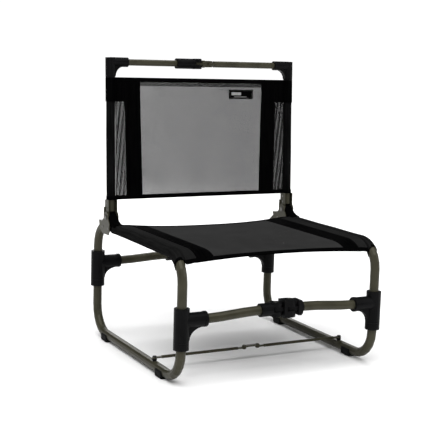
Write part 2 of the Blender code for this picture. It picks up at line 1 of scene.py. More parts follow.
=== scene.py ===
"""Looks of the folding field chair: sewn fabric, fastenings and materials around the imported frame.
Metres, +Z up, -Y is the chair's front."""

import math

import bpy
from mathutils import Matrix, Vector, noise


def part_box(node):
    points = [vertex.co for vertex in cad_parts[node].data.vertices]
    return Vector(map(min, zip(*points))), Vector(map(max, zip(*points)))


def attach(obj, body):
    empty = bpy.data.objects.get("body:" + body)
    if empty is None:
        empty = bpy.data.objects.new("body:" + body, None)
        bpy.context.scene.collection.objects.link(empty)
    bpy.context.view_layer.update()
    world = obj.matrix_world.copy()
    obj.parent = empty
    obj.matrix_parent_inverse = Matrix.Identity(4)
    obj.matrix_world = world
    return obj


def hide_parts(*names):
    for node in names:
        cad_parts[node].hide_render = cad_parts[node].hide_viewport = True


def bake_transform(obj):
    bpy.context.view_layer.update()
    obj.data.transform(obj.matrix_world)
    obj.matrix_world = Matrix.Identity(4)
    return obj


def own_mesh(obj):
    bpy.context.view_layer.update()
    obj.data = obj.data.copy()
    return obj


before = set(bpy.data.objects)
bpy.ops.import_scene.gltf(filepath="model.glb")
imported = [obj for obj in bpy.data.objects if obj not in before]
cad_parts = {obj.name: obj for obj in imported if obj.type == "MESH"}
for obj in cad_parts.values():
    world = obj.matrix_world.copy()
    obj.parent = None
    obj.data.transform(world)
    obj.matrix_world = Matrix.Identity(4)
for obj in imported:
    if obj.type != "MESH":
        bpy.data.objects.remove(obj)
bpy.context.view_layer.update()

X, Y, Z = Vector((1, 0, 0)), Vector((0, 1, 0)), Vector((0, 0, 1))
SIDES = {"left": -1, "right": 1}


# Frame facts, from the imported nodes


def middle(node):
    low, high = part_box(node)
    return (low + high) / 2


HALF_WIDTH = middle("right_back_pivot").x
PIVOT = Vector((0, middle("right_back_pivot").y, middle("right_back_pivot").z))
LEAN = math.radians(3.0)  # of the uprights, backwards
S = Vector((0, math.sin(LEAN), math.cos(LEAN)))  # up the back
N = Vector((0, math.cos(LEAN), -math.sin(LEAN)))  # through the back, rearwards
SEAT_Z = middle("seat_left_panel").z
RAIL_Z = 0.292
BEND_START_Y = -0.1915  # where the seat rail starts to bend down
BEND_R = 0.060
RAIL_R = 0.0111
UPRIGHT_R = 0.0095


def on_back(x, s, n=0.0):
    return PIVOT + X * x + S * s + N * n


def ramp(t):
    t = min(max(t, 0.0), 1.0)
    return t * t * (3 - 2 * t)


def steps(start, end, pitch):
    count = max(1, round(abs(end - start) / pitch))
    return [start + (end - start) * i / count for i in range(count + 1)]


# Materials


EDGE_SOFTNESS = 0.0007
CLOTH_IOR = 1.12  # low, so that cloth seen at a flat angle keeps its darkness


class Nodes:
    """A material's node tree, with short calls to build it."""

    def __init__(self, name):
        self.material = bpy.data.materials.new(name)
        self.material.use_nodes = True
        self.tree = self.material.node_tree
        self.shader = self.tree.nodes["Principled BSDF"]

    def node(self, kind, **settings):
        made = self.tree.nodes.new(kind)
        for key, value in settings.items():
            setattr(made, key, value)
        return made

    def link(self, source, target):
        self.tree.links.new(source, target)

    def value(self, target, source):
        if isinstance(source, (int, float)):
            target.default_value = source
        else:
            self.link(source, target)

    def math(self, operation, a, b=None, c=None):
        made = self.node("ShaderNodeMath", operation=operation)
        for target, source in zip(made.inputs, (a, b, c)):
            if source is not None:
                self.value(target, source)
        return made.outputs[0]

    def object_place(self):
        return self.node("ShaderNodeTexCoord").outputs["Object"]

    def cloth_place(self):
        return self.node("ShaderNodeUVMap", uv_map="cloth").outputs["UV"]

    def split(self, vector):
        made = self.node("ShaderNodeSeparateXYZ")
        self.link(vector, made.inputs[0])
        return made.outputs[0], made.outputs[1]

    def noise(self, place, scale, detail=3.0, rough=0.5):
        made = self.node("ShaderNodeTexNoise")
        self.link(place, made.inputs["Vector"])
        made.inputs["Scale"].default_value = scale
        made.inputs["Detail"].default_value = detail
        made.inputs["Roughness"].default_value = rough
        return made.outputs["Fac"]

    def spread(self, source, low, high, start=0.3, end=0.7):
        made = self.node("ShaderNodeMapRange")
        self.link(source, made.inputs["Value"])
        made.inputs["From Min"].default_value = start
        made.inputs["From Max"].default_value = end
        made.inputs["To Min"].default_value = low
        made.inputs["To Max"].default_value = high
        return made.outputs["Result"]

    def colours(self, source, *stops):
        """stops: (position, (r, g, b)) from low to high."""
        made = self.node("ShaderNodeValToRGB")
        band = made.color_ramp
        while len(band.elements) < len(stops):
            band.elements.new(0.5)
        for element, (at, colour) in zip(band.elements, stops):
            element.position = at
            element.color = (*colour, 1)
        self.link(source, made.inputs["Fac"])
        return made.outputs["Color"]

    def mixed(self, factor, a, b):
        made = self.node("ShaderNodeMix", data_type="RGBA")
        self.value(made.inputs[0], factor)
        self.link(a, made.inputs[6])
        self.link(b, made.inputs[7])
        return made.outputs[2]

    def bump(self, height, distance, strength=1.0, normal=None):
        made = self.node("ShaderNodeBump")
        made.inputs["Strength"].default_value = strength
        made.inputs["Distance"].default_value = distance
        self.link(height, made.inputs["Height"])
        if normal is not None:
            self.link(normal, made.inputs["Normal"])
        return made.outputs["Normal"]

    def finish(self, colour, roughness, normal, **constants):
        self.link(colour, self.shader.inputs["Base Color"])
        self.link(roughness, self.shader.inputs["Roughness"])
        self.link(normal, self.shader.inputs["Normal"])
        for socket, value in constants.items():
            self.shader.inputs[socket.replace("_", " ")].default_value = value
        return self.material


def grained(name, dark, light, rough, metallic=0.0, specular=0.5, grain=1400, depth=0.00004, wear=None,
            ior=1.45):
    """A hard surface with softened edges: cloudy colour, fine grain, and paler scuffs where wear
    gives their colour."""
    n = Nodes(name)
    place = n.object_place()
    cloud = n.noise(place, 28, 4)
    fine = n.noise(place, grain, 2)
    colour = n.colours(cloud, (0.3, dark), (0.7, light))
    if wear:
        scuffs = n.noise(place, 190, 6, 0.72)
        amount = n.spread(scuffs, 0.0, 0.55, 0.62, 0.74)
        colour = n.mixed(amount, colour, n.colours(cloud, (0.0, wear), (1.0, wear)))
    roughness = n.math("ADD", n.spread(cloud, rough - 0.05, rough + 0.05), n.spread(fine, -0.04, 0.04))
    rounded = n.node("ShaderNodeBevel", samples=4)
    rounded.inputs["Radius"].default_value = EDGE_SOFTNESS
    normal = n.bump(fine, depth, 0.6, rounded.outputs["Normal"])
    return n.finish(colour, roughness, normal, Metallic=metallic, IOR=ior, Specular_IOR_Level=specular)


def woven(name, dark, light, pitch, rough=0.85, specular=0.15, sheen=0.0, depth=0.00012):
    """Plain weave: crossing threads at the given pitch, with slow changes of tone, and creases that
    run along v. The creases are bumps, and their shade is also painted into the colour as darker
    and lighter streaks."""
    n = Nodes(name)
    place = n.cloth_place()
    u, v = n.split(place)
    turn = 2 * math.pi / pitch
    warp = n.math("SINE", n.math("MULTIPLY", u, turn))
    weft = n.math("SINE", n.math("MULTIPLY", v, turn))
    weave = n.math("MULTIPLY_ADD", n.math("MULTIPLY", warp, weft), 0.5, 0.5)
    cloud = n.noise(place, 22, 5, 0.6)
    fluff = n.noise(place, 2600, 2)
    drawn = n.node("ShaderNodeVectorMath", operation="MULTIPLY")
    n.link(place, drawn.inputs[0])
    drawn.inputs[1].default_value = (1.0, 0.06, 1.0)
    # creases: streaks along v, used as bump height and also as painted crease shade and highlight in the
    # colour
    creases = n.spread(n.noise(drawn.outputs[0], 210, 3, 0.6), -0.35, 0.35, 0.35, 0.65)
    # random tone of the cloth plus painted shade of the creases
    uneven_tone_and_crease_shade = n.math("MULTIPLY_ADD", cloud, 0.65, n.math("MULTIPLY", creases, 0.6))
    tone = n.math("MULTIPLY_ADD", weave, 0.25, uneven_tone_and_crease_shade)
    colour = n.colours(tone, (0.25, dark), (0.75, light))
    roughness = n.spread(cloud, rough - 0.06, rough + 0.06)
    height = n.math("MULTIPLY_ADD", creases, 1.6, n.math("MULTIPLY_ADD", fluff, 0.4, weave))
    normal = n.bump(height, depth, 0.7)
    return n.finish(colour, roughness, normal, IOR=CLOTH_IOR, Specular_IOR_Level=specular, Sheen_Weight=sheen)


def knitted(name, dark, light, pitch, opening, specular=0.12, streaks=0.0, sheen=0.0):
    """Open mesh: staggered round holes, see-through where the knit leaves them. A larger opening
    is a higher threshold, so a smaller hole."""
    n = Nodes(name)
    place = n.cloth_place()
    u, v = n.split(place)
    turn = math.pi / pitch
    rising = n.math("SINE", n.math("MULTIPLY", n.math("ADD", u, v), turn))
    falling = n.math("SINE", n.math("MULTIPLY", n.math("SUBTRACT", u, v), turn))
    cell = n.math("ABSOLUTE", n.math("MULTIPLY", rising, falling))
    cloud = n.noise(place, 16, 5, 0.6)
    edge = n.math("MULTIPLY_ADD", cloud, 0.10, opening - 0.05)
    if streaks:
        drift = n.noise(place, 30, 2)
        lean = n.math("MULTIPLY_ADD", u, 1.0, n.math("MULTIPLY", v, 0.13))
        waves = n.math("SINE", n.math("MULTIPLY_ADD", lean, 900.0, n.math("MULTIPLY", drift, 1.2)))
        edge = n.math("MULTIPLY_ADD", waves, streaks, edge)
    alpha = n.math("LESS_THAN", cell, edge)
    fibre = n.noise(place, 1800, 2)
    tone = n.math("MULTIPLY_ADD", fibre, 0.4, n.math("MULTIPLY", cloud, 0.6))
    colour = n.colours(tone, (0.3, dark), (0.7, light))
    roughness = n.spread(cloud, 0.72, 0.86)
    normal = n.bump(n.math("SUBTRACT", 1.0, cell), 0.0002, 0.6)
    n.link(alpha, n.shader.inputs["Alpha"])
    return n.finish(colour, roughness, normal, IOR=CLOTH_IOR, Specular_IOR_Level=specular, Sheen_Weight=sheen)


PAINT = grained("olive_paint", (0.034, 0.032, 0.0205), (0.050, 0.047, 0.031), 0.36, 0.20, 0.45, 900, 0.00003,
                wear=(0.10, 0.095, 0.067), ior=1.25)
PLASTIC = grained("black_plastic", (0.0018, 0.0018, 0.002), (0.0042, 0.0042, 0.0046), 0.42, 0.0, 0.14, 1500,
                  ior=1.3)
STEEL = grained("dark_steel", (0.10, 0.098, 0.090), (0.16, 0.155, 0.145), 0.34, 0.9, 0.5, 700)
RUBBER = grained("black_foot", (0.002, 0.002, 0.002), (0.005, 0.005, 0.005), 0.72, 0.0, 0.12, 900, 0.00008)
WEBBING = woven("black_webbing", (0.0005, 0.0005, 0.0006), (0.0018, 0.0018, 0.0019), 0.0016, specular=0.05)
SLEEVE = woven("sleeve_cloth", (0.0022, 0.0022, 0.0023), (0.0055, 0.0055, 0.0057), 0.0012, specular=0.08)
SEAT_SLEEVE = woven("seat_sleeve_cloth", (0.0045, 0.0045, 0.0045), (0.0110, 0.0110, 0.0110), 0.0012,
                    specular=0.08)
BACK_MESH = knitted("back_mesh", (0.010, 0.010, 0.010), (0.022, 0.022, 0.022), 0.0015, 0.42)
# darker, denser mesh for the strip under the top hem: painted shade of the hem
HEM_SHADE_MESH = knitted("hem_shade_mesh", (0.008, 0.008, 0.008), (0.016, 0.016, 0.016), 0.0015, 0.70)
SIDE_MESH = knitted("side_mesh", (0.006, 0.006, 0.006), (0.014, 0.014, 0.014), 0.0015, 0.68, streaks=0.03)
SEAT_MESH = knitted("seat_mesh", (0.019, 0.019, 0.019), (0.030, 0.030, 0.030), 0.0015, 0.99,
                    specular=0.04)
SEAT_SIDE = knitted("seat_side_mesh", (0.0070, 0.0070, 0.0070), (0.0140, 0.0140, 0.0140), 0.0015, 1.0,
                    specular=0.04)
LABEL = woven("plain_label", (0.0006, 0.0006, 0.0006), (0.0014, 0.0014, 0.0014), 0.0006, specular=0.05)
THREAD = woven("black_thread", (0.004, 0.004, 0.004), (0.009, 0.009, 0.009), 0.0005, rough=0.6, specular=0.2)
PALE_THREAD = woven("pale_thread", (0.20, 0.20, 0.20), (0.34, 0.34, 0.33), 0.0005, rough=0.6, specular=0.3)

# By the record's material slots
LOOKS = {"paint": PAINT, "plastic": PLASTIC, "steel": STEEL, "rubber": RUBBER, "fabric": WEBBING,
         "mesh": SEAT_MESH}


# Cloth geometry


def surface(name, us, vs, place, look, wrap=False, parts=None):
    """A sheet over a grid. u and v are metres of cloth; place gives a point. parts(u, v) picks the
    material's number where look is a list."""
    columns = len(us) - 1 if wrap else len(us)
    points = [place(u, v) for v in vs for u in us[:columns]]
    faces, corners = [], []
    for j in range(len(vs) - 1):
        for i in range(len(us) - 1):
            k = (i + 1) % columns
            faces.append((j * columns + i, j * columns + k, (j + 1) * columns + k, (j + 1) * columns + i))
            corners.append(((us[i], vs[j]), (us[i + 1], vs[j]), (us[i + 1], vs[j + 1]), (us[i], vs[j + 1])))
    mesh = bpy.data.meshes.new(name)
    mesh.from_pydata(points, [], faces)
    layer = mesh.uv_layers.new(name="cloth")
    for polygon, quad in zip(mesh.polygons, corners):
        for loop, uv in zip(polygon.loop_indices, quad):
            layer.data[loop].uv = uv
        if parts:
            u = sum(c[0] for c in quad) / 4
            v = sum(c[1] for c in quad) / 4
            polygon.material_index = parts(u, v)
    for each in look if isinstance(look, list) else [look]:
        mesh.materials.append(each)
    mesh.shade_smooth()
    made = bpy.data.objects.new(name, mesh)
    bpy.context.scene.collection.objects.link(made)
    return made


def settle(piece):
    """Applies the modifiers."""
    bpy.context.view_layer.update()
    result = bpy.data.meshes.new_from_object(piece.evaluated_get(bpy.context.evaluated_depsgraph_get()))
    piece.modifiers.clear()
    piece.data = result
    return piece


def thicken(piece, thickness, offset=0.0, rounded=0.0):
    solid = piece.modifiers.new("thickness", "SOLIDIFY")
    solid.thickness = thickness
    solid.offset = offset
    solid.use_even_offset = True
    if rounded:
        edge = piece.modifiers.new("edge", "BEVEL")
        edge.width = rounded
        edge.segments = 2
        edge.limit_method = "ANGLE"
        edge.angle_limit = math.radians(50)
    return settle(piece)


def stitch_row(name, line, look=THREAD, pitch=0.0045, length=0.003, radius=0.0004):
    """Short flattened stitches along a line of points, each half sunk in the cloth."""
    points, faces, corners = [], [], []
    left = 0.0
    for a, b in zip(line, line[1:]):
        run = (b - a).length
        way = (b - a).normalized()
        across = way.cross(Z if abs(way.z) < 0.9 else X).normalized()
        over = way.cross(across)
        at = left
        while at + length <= run:
            start = a + way * at
            base = len(points)
            points.append(start)
            for turn in range(5):
                angle = 2 * math.pi * turn / 5
                points.append(start + way * (length / 2) + across * (radius * math.cos(angle))
                              + over * (radius * math.sin(angle)))
            points.append(start + way * length)
            for turn in range(5):
                i, k = base + 1 + turn, base + 1 + (turn + 1) % 5
                faces += [(base, k, i), (base + 6, i, k)]
                corners += [((0, 0), (radius, length / 2), (0, length / 2))] * 2
            at += pitch
        left = max(0.0, at - run)
    mesh = bpy.data.meshes.new(name)
    mesh.from_pydata(points, [], faces)
    layer = mesh.uv_layers.new(name="cloth")
    for polygon, triangle in zip(mesh.polygons, corners):
        for loop, uv in zip(polygon.loop_indices, triangle):
            layer.data[loop].uv = uv
    mesh.materials.append(look)
    mesh.shade_smooth()
    made = bpy.data.objects.new(name, mesh)
    bpy.context.scene.collection.objects.link(made)
    return made


# Back


CLOTH_EDGE = 0.2400  # where the back stops, just inside its sleeves
SEAT_EDGE = 0.2394  # where the seat stops, beside the sewn edges of its sleeves
FOLD_HALF = 0.030  # half of the stretch that bends when the chair folds
BACK_LOW, BACK_HIGH = 0.0445, 0.3410
BACK_THICK = 0.0008
BAND_WIDTH = 0.042
BAND_THICK = 0.0032
STITCH_INSET = 0.003  # of a band's stitches, from its edges
CORNER_TALL = 0.057


def fine_columns(edge):
    """Columns across a panel: closer in the side strips and at the fold."""
    side = steps(-edge, -0.205, 0.0017)
    wide = steps(-0.205, -FOLD_HALF - 0.01, 0.008)
    fold = steps(-FOLD_HALF - 0.01, 0, 0.003)
    half = side + wide[1:] + fold[1:]
    return half + [-x for x in reversed(half[:-1])]


def band_inner(s):
    """The bands lean in a little towards the bottom."""
    return 0.1670 + 0.0065 * (s - BACK_LOW) / (BACK_HIGH - BACK_LOW)


def back_bow(x, s):
    """How far the back is pushed rearwards: a slack middle and slanting creases in the side strips."""
    wide = 1 - (x / CLOTH_EDGE) ** 2
    tall = math.sin(math.pi * min(max((s - 0.02) / 0.36, 0), 1))
    bow = 0.0045 * wide * (0.4 + 0.6 * tall)
    bow += 0.0008 * wide * noise.noise(Vector((x * 14, s * 9, 3)))
    strip = ramp((abs(x) - 0.2135) / 0.004) * ramp((CLOTH_EDGE - abs(x)) / 0.003)
    lean = (abs(x) + 0.12 * s * (1 if x < 0 else -1)) * 2 * math.pi / 0.011
    crease = math.sin(lean + 0.8 * noise.noise(Vector((x * 20, s * 16, 7))))
    return bow + 0.0003 * strip * crease


def back_place(x, s, lift=0.0):
    return on_back(x, s, back_bow(x, s) + lift)


def bend_back(piece):
    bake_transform(piece)
    return piece


SIDE_STRIP = 0.195  # the darker side mesh starts here, from the middle
# how far the strip of painted hem shade reaches down from the top edge
HEM_SHADE_DEPTH = 0.0185


def back_part(x, s):
    """Single mesh, the side strips, or a darker, denser strip under the top hem: painted shade of the hem."""
    if abs(x) > SIDE_STRIP:
        return 1
    return 2 if s > BACK_HIGH - HEM_SHADE_DEPTH else 0


back_cloth = surface(
    "back_cloth", fine_columns(CLOTH_EDGE), steps(BACK_LOW, BACK_HIGH, 0.0062), back_place,
    [BACK_MESH, SIDE_MESH, HEM_SHADE_MESH], parts=back_part)
thicken(back_cloth, BACK_THICK)
bend_back(back_cloth)
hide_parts("back_left_panel", "back_right_panel")


def hem(name, us, at, tall, thick, look=WEBBING):
    """A binding folded over a cloth edge. at(u) is the edge; its way in and its normal follow."""
    turns = [-1.0, -0.85, -0.55, 0.0, 0.55, 0.85, 1.0]

    def place(u, v):
        edge, inward, out = at(u)
        t = v / tall
        side = 1 if t >= 0 else -1
        depth = tall * abs(t)
        swell = thick / 2 * math.sqrt(max(0.0, 1 - (1 - min(abs(t) * 3, 1)) ** 2))
        return edge + inward * (depth - thick * 0.4) + out * (side * swell)

    made = surface(name, us, [t * tall for t in turns], place, look)
    return thicken(made, 0.0006, 0.0)


def back_edge(s, inward):
    return lambda x: (back_place(x, s), S * inward, N)


HEM_TALL = 0.0095
for name, s, inward in (("back_top_hem", BACK_HIGH, -1), ("back_bottom_hem", BACK_LOW, 1)):
    made = hem(name, fine_columns(CLOTH_EDGE), back_edge(s, inward), HEM_TALL, 0.0026)
    bend_back(made or made)
    row = stitch_row(f"{name}_stitches", [back_place(x, s + inward * (HEM_TALL - 0.002), -0.0016)
                                          for x in steps(-0.236, 0.236, 0.006)])
    bend_back(row or row)


def strap(name, us, vs, place, thick, look=WEBBING):
    """A flat strap with soft edges that follows a surface."""
    made = surface(name, us, vs, place, look)
    return thicken(made, thick, 0.0, 0.0005)


CORNER_IN = 0.211
back_trim = {"left": [], "right": []}
for side, sign in SIDES.items():
    def band_place(u, s, sign=sign):
        x = sign * (band_inner(s) + u)
        return back_place(x, s)

    rows = steps(BACK_LOW + 0.001, BACK_HIGH - 0.001, 0.0075)
    band = strap(f"back_{side}_band", steps(0, BAND_WIDTH, 0.006), rows, band_place, BAND_THICK)
    corner_low = BACK_HIGH - CORNER_TALL

    def corner_place(u, s, sign=sign):
        return back_place(sign * (CORNER_IN + u), s)

    corner = strap(f"back_{side}_corner", steps(0, CLOTH_EDGE - CORNER_IN, 0.0035),
                   steps(corner_low, BACK_HIGH - 0.001, 0.0075), corner_place, 0.0030)
    back_trim[side] += [band, corner]
    for edge, u in (("inner", STITCH_INSET), ("outer", BAND_WIDTH - STITCH_INSET)):
        line = [back_place(sign * (band_inner(s) + u), s, -0.0018)
                for s in steps(BACK_LOW + 0.01, BACK_HIGH - 0.01, 0.008)]
        back_trim[side].append(stitch_row(f"back_{side}_band_{edge}_stitches", line))
    line = [back_place(sign * x, corner_low + 0.003, -0.0018) for x in steps(0.216, 0.236, 0.005)]
    back_trim[side].append(stitch_row(f"back_{side}_corner_stitches", line))
    for piece in back_trim[side]:
        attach(piece, f"back_{side}")

label = strap("back_label", steps(0.076, 0.147, 0.006), steps(0.2925, 0.3165, 0.004),
              lambda x, s: back_place(x, s, -0.0013), 0.0009, LABEL)
border = [(0.079, 0.2950), (0.144, 0.2950), (0.144, 0.3140), (0.079, 0.3140), (0.079, 0.2950)]
edging = []
for (x0, s0), (x1, s1) in zip(border, border[1:]):
    count = round(max(abs(x1 - x0), abs(s1 - s0)) / 0.005)
    edging += [back_place(x0 + (x1 - x0) * i / count, s0 + (s1 - s0) * i / count, -0.0019)
               for i in range(count)]
edging.append(edging[0])
label_edge = stitch_row("back_label_stitches", edging, PALE_THREAD, 0.0016, 0.0012, 0.00022)
LABEL_MARKS = (("block", 0.084, 0.112, 0.3020, 0.3095), ("line", 0.092, 0.128, 0.2972, 0.2984))
marks = [strap(f"back_label_{name}", steps(x0, x1, 0.006), steps(s0, s1, 0.003),
               lambda x, s: back_place(x, s, -0.0018), 0.0004, PALE_THREAD)
         for name, x0, x1, s0, s1 in LABEL_MARKS]
for piece in (label, label_edge, *marks):
    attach(piece, "back_right")


# Sleeves


def sleeve(name, centre, stations, radius, thick, look, folds, slant=None, over=0.08, around=44):
    """A cloth tube: centre(v) is its axis at each station v, folds its ripples. slant(angle) moves
    the end that stations reach last along the axis, and fades out over a length of cloth."""
    total = 2 * math.pi * radius
    us = [total * i / around for i in range(around + 1)]

    def place(u, v):
        angle = u / radius
        if slant:
            v += slant(angle) * ramp((v - stations[-1] + over) / over)
        way = (centre(v + 0.001) - centre(v - 0.001)).normalized()
        out = way.cross(X).normalized()
        return centre(v) + (X * math.cos(angle) + out * math.sin(angle)) * (radius + folds(angle, v))

    made = surface(name, us, stations, place, look, wrap=True)
    return thicken(made, thick, 1.0)


def soft_folds(seed, height):
    def folds(angle, v):
        ridge = noise.noise(Vector((math.cos(angle) * 1.6, math.sin(angle) * 1.6 + v * 9, seed)))
        twist = math.sin(3 * angle + v * 42 + seed) * 0.35
        wander = 2.5 * noise.noise(Vector((v * 12, seed, 5)))
        wrinkle = math.sin(9 * angle + wander + v * 11) * 0.5
        return height * (0.45 + 0.4 * ridge + 0.3 * twist + 0.4 * wrinkle)

    return folds


BACK_SLEEVE = (0.0432, 0.3416)
BACK_SLEEVE_R = UPRIGHT_R + 0.0010
BACK_CUFF_R = UPRIGHT_R + 0.0027
for side, sign in SIDES.items():
    def upright(s, sign=sign):
        return on_back(sign * HALF_WIDTH, s)

    made = sleeve(f"{side}_back_sleeve_cloth", upright, steps(*BACK_SLEEVE, 0.006), BACK_SLEEVE_R, -0.0008,
                  SLEEVE, soft_folds(sign * 3, 0.0010))
    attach(made, f"{side}_upright")
    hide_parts(f"{side}_back_sleeve")
    for end, low, high in (("top", BACK_HIGH - CORNER_TALL, 0.3417), ("bottom", 0.0430, 0.0520)):
        cuff = sleeve(f"{side}_back_sleeve_{end}_cuff", upright, steps(low, high, 0.004), BACK_CUFF_R,
                      -0.0007, WEBBING, soft_folds(sign * 5, 0.0003))
        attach(cuff, f"{side}_upright")


def seat_rail(v):
    """A point on the seat rail's axis, v metres forward of the start of its front bend."""
    if v <= 0:
        return Vector((0, BEND_START_Y - v, RAIL_Z))
    angle = v / BEND_R
    return Vector((0, BEND_START_Y - BEND_R * math.sin(angle), RAIL_Z - BEND_R * (1 - math.cos(angle))))


SEAT_REAR, SEAT_FRONT = 0.1385, -0.2400
REAR_RUN = SEAT_REAR - BEND_START_Y
SLEEVE_FRONT = BEND_R * math.radians(50)


def front_slant(angle):
    """The sleeve's front end is cut short on top of the bend and long under it."""
    return -BEND_R * math.radians(8) * math.sin(angle)


SLEEVE_BASE_R = RAIL_R + 0.0006  # before its ripples
SLEEVE_TOP_R = RAIL_R + 0.0012
SEAT_CUFF_R = RAIL_R + 0.0015
SEAM_IN, SEAM_UP = 0.0122, 0.0105  # where the seat is sewn on, from the rail's axis


def pulled(side):
    """Ripples of a seat sleeve, drawn out to an edge towards the seat, where the cloth is sewn on."""
    ripples = soft_folds(SIDES[side] * 2 + 1, 0.0011)
    edge = math.atan2(SEAM_UP, SEAM_IN)
    leave = edge + math.acos(SLEEVE_TOP_R / math.hypot(SEAM_UP, SEAM_IN))

    def folds(angle, v):
        turn = angle if side == "left" else math.pi - angle
        turn = (turn + math.pi) % (2 * math.pi) - math.pi
        if 0 <= turn <= edge:
            return SEAM_IN / math.cos(turn) - SLEEVE_BASE_R
        if edge < turn <= leave:
            return SLEEVE_TOP_R / math.cos(leave - turn) - SLEEVE_BASE_R
        return ripples(angle, v) * ramp((abs(turn - edge / 2) - edge / 2) / 0.6)

    return folds


for side, sign in SIDES.items():
    def rail(v, sign=sign):
        return X * (sign * HALF_WIDTH) + seat_rail(v)

    made = sleeve(f"{side}_seat_sleeve_cloth", rail, steps(-REAR_RUN, SLEEVE_FRONT, 0.0058), SLEEVE_BASE_R,
                  -0.0005, SEAT_SLEEVE, pulled(side), front_slant, around=60)
    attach(made, f"{side}_side")
    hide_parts(f"{side}_seat_sleeve")
    for end, low, high, slant in (("front", SLEEVE_FRONT - 0.0060, SLEEVE_FRONT + 0.0008, front_slant),
                                  ("rear", -REAR_RUN + 0.007, -REAR_RUN - 0.0002, None)):
        cuff = sleeve(f"{side}_seat_sleeve_{end}_cuff", rail, steps(low, high, 0.0015), SEAT_CUFF_R, -0.0004,
                      WEBBING, soft_folds(sign * 2 + 1, 0.0001), slant, 0.03)
        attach(cuff, f"{side}_side")


# Gussets: webbing from the back's sleeves down to the rails, in front of each pivot


GUSSET_HALF = 0.0108
GUSSET_LOW = 0.2988  # where its side skirts end, inside the sleeve
# y and z along its middle, from the pivot forwards
GUSSET = [(0.1565, 0.3275), (0.1480, 0.3195), (0.1380, 0.3125), (0.1260, 0.3078), (0.1120, 0.3052)]
for side, sign in SIDES.items():
    def gusset_place(u, v, sign=sign):
        at = min(int(v), len(GUSSET) - 2)
        part = v - at
        (y0, z0), (y1, z1) = GUSSET[at], GUSSET[at + 1]
        top = z0 + (z1 - z0) * part
        skirt = max(0.0, abs(u) - 0.0100)
        arch = 0.0012 * (u / 0.0105) ** 2
        height = max(top - arch - 3.0 * skirt, GUSSET_LOW)
        across = max(-GUSSET_HALF, min(u, GUSSET_HALF))
        return Vector((sign * HALF_WIDTH + across, y0 + (y1 - y0) * part, height))

    gusset = surface(f"{side}_gusset", steps(-0.0195, 0.0195, 0.0013), steps(0, len(GUSSET) - 1, 0.25),
                     gusset_place, WEBBING)
    thicken(gusset, 0.0008)
    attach(gusset, f"{side}_side")
    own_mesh(gusset)


# Fastenings


def dome(name, at, axis, radius, height, look):
    """A rivet's head: a low dome on its base, turned about axis."""
    outline = [(radius, -0.0003), (radius, height * 0.25)]
    outline += [(radius * math.cos(a), height * (0.25 + 0.75 * math.sin(a))) for a in steps(0.3, 1.45, 0.38)]
    across = axis.orthogonal().normalized()
    over = axis.cross(across)
    around = 18
    turns = [2 * math.pi * i / around for i in range(around)]
    points = [at + axis * h + (across * math.cos(turn) + over * math.sin(turn)) * r
              for r, h in outline for turn in turns]
    faces = []
    for j in range(len(outline) - 1):
        low, high = j * around, (j + 1) * around
        faces += [(low + i, low + (i + 1) % around, high + (i + 1) % around, high + i) for i in range(around)]
    faces += [tuple(reversed(range(around))), tuple((len(outline) - 1) * around + i for i in range(around))]
    mesh = bpy.data.meshes.new(name)
    mesh.from_pydata(points, [], faces)
    mesh.materials.append(look)
    mesh.shade_smooth()
    made = bpy.data.objects.new(name, mesh)
    bpy.context.scene.collection.objects.link(made)
    return made


for side, sign in SIDES.items():
    shoe_low, shoe_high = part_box(f"{side}_shoe")
    bracket_low, bracket_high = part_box(f"{side}_bracket")
    for face, way in (("inner", -1), ("outer", 1)):  # named for the right side; swapped on the left
        shoe_x = shoe_high.x if way > 0 else shoe_low.x
        cheek_x = bracket_high.x if way > 0 else bracket_low.x
        for number, s in ((1, 0.0205), (2, 0.0355)):
            at = on_back(shoe_x, s)
            head = dome(f"{side}_shoe_{face}_rivet_{number}", at, X * way, 0.0030, 0.0010, STEEL)
            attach(head, f"{side}_upright")
        for number, y, z in ((1, 0.1500, 0.2920), (2, 0.1850, 0.2920)):
            at = Vector((cheek_x, y, z))
            head = dome(f"{side}_bracket_{face}_rivet_{number}", at, X * way, 0.0034, 0.0012, STEEL)
            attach(head, f"{side}_side")


# Seat


BEND_OUTER = BEND_R + 0.0127  # the rolled front's radius, over the sleeves


def seat_place(x, y, lift=0.0):
    """The seat hangs from the tops of the rails and rolls down over their front bends."""
    out = abs(x) / SEAT_EDGE
    sag = 0.0115 * (1 - out**2.4)
    past = max(0.0, BEND_START_Y + 0.004 - y)
    drop = (0.10 + 0.92 * out**2.2) * (BEND_OUTER - math.sqrt(BEND_OUTER**2 - past**2))
    drop += 0.0035 * ramp((SEAT_FRONT + 0.009 - y) / 0.009)
    ripple = 0.0006 * (1 - out**2) * noise.noise(Vector((x * 5, y * 26, 11)))
    strip = ramp((abs(x) - 0.2135) / 0.004) * ramp((SEAT_EDGE - abs(x)) / 0.003)
    wander = 2 * noise.noise(Vector((x * 9, y * 18, 2)))
    crease = 0.0005 * strip * math.sin((y * 2 + abs(x)) * 2 * math.pi / 0.034 + wander)
    return Vector((x, y, SEAT_Z + 0.0025 - sag - drop + ripple + crease + lift))


SEAT_BAND = 0.1700
SEAT_ROWS = steps(SEAT_REAR, SEAT_FRONT + 0.009, 0.0075) + steps(SEAT_FRONT + 0.009, SEAT_FRONT, 0.0025)[1:]


def bend_seat(piece):
    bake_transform(piece)
    return piece


seat_cloth = surface(
    "seat_cloth", fine_columns(SEAT_EDGE), SEAT_ROWS, seat_place,
    [SEAT_MESH, SEAT_SIDE], parts=lambda x, y: 0 if abs(x) < SIDE_STRIP else 1)
thicken(seat_cloth, BACK_THICK)
bend_seat(seat_cloth)
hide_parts("seat_left_panel", "seat_right_panel")


def seat_edge(y, inward):
    def at(x):
        ahead = seat_place(x, y + inward * 0.004)
        edge = seat_place(x, y)
        way = (ahead - edge).normalized()
        return edge, way, X.cross(way).normalized()

    return at


